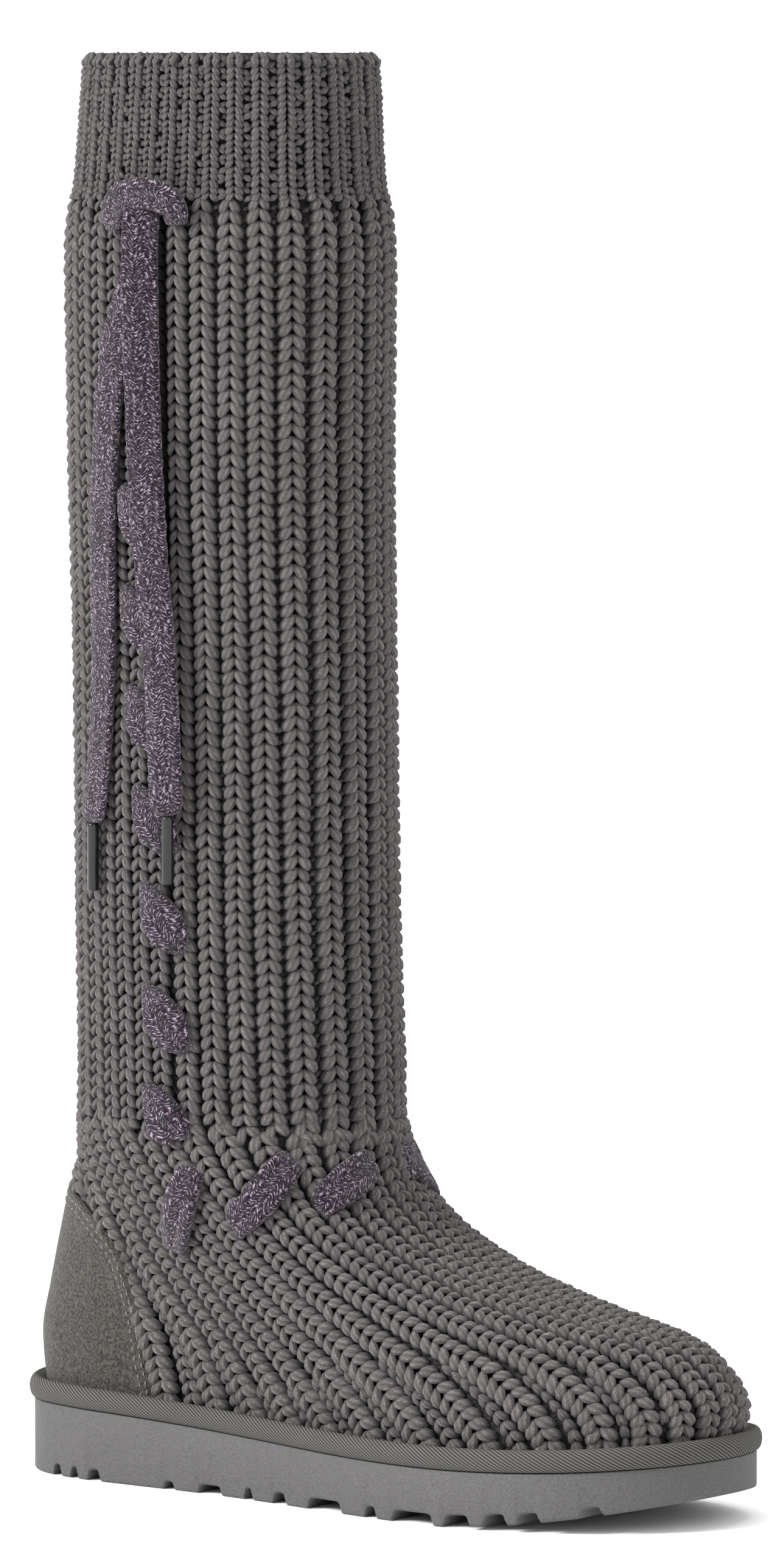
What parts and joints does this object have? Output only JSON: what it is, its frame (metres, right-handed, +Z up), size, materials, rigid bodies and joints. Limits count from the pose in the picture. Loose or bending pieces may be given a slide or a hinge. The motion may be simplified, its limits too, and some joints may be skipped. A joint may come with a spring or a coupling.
{
  "type": "sweater boot",
  "caption": "Tall chunky-knit pull-on boot for a right foot, laced up its outer side, with a heel counter and a low grooved foam sole.",
  "frame": {"origin": "middle of the standing boot's footprint box at the floor, the free lace left out", "axes": "+X to the toe, +Y to the inner (medial) side, +Z up"},
  "size_m": [0.2714, 0.105, 0.467],
  "materials": {
    "foam_sole": "matte moulded foam, mid grey",
    "tape_binding": "twill tape, grey-green",
    "knit_yarn": "chunky cotton-blend yarn, warm grey",
    "suede": "suede, grey-olive, short nap",
    "lace_yarn": "flat brushed lace, dusty purple-grey flecked",
    "footbed": "felted footbed, dark grey",
    "aglet_metal": "glossy gunmetal"
  },
  "bodies": {
    "root": {"outsole": "foam_sole", "binding": "tape_binding", "insole": "footbed", "upper_knit": "knit_yarn", "heel_counter": "suede", "lace_end_front": "lace_yarn", "lace_end_back": "lace_yarn", "lace_knot": "lace_yarn", "aglet_front": "aglet_metal", "aglet_back": "aglet_metal", "lace_side_1": "lace_yarn", "lace_side_2": "lace_yarn", "lace_side_3": "lace_yarn", "lace_side_4": "lace_yarn", "lace_side_5": "lace_yarn", "lace_side_6": "lace_yarn", "lace_side_7": "lace_yarn", "lace_ankle_front_outer": "lace_yarn", "lace_ankle_front_inner": "lace_yarn", "lace_ankle_middle_outer": "lace_yarn", "lace_ankle_middle_inner": "lace_yarn", "lace_ankle_back_outer": "lace_yarn", "lace_ankle_back_inner": "lace_yarn"}
  },
  "joints": []
}
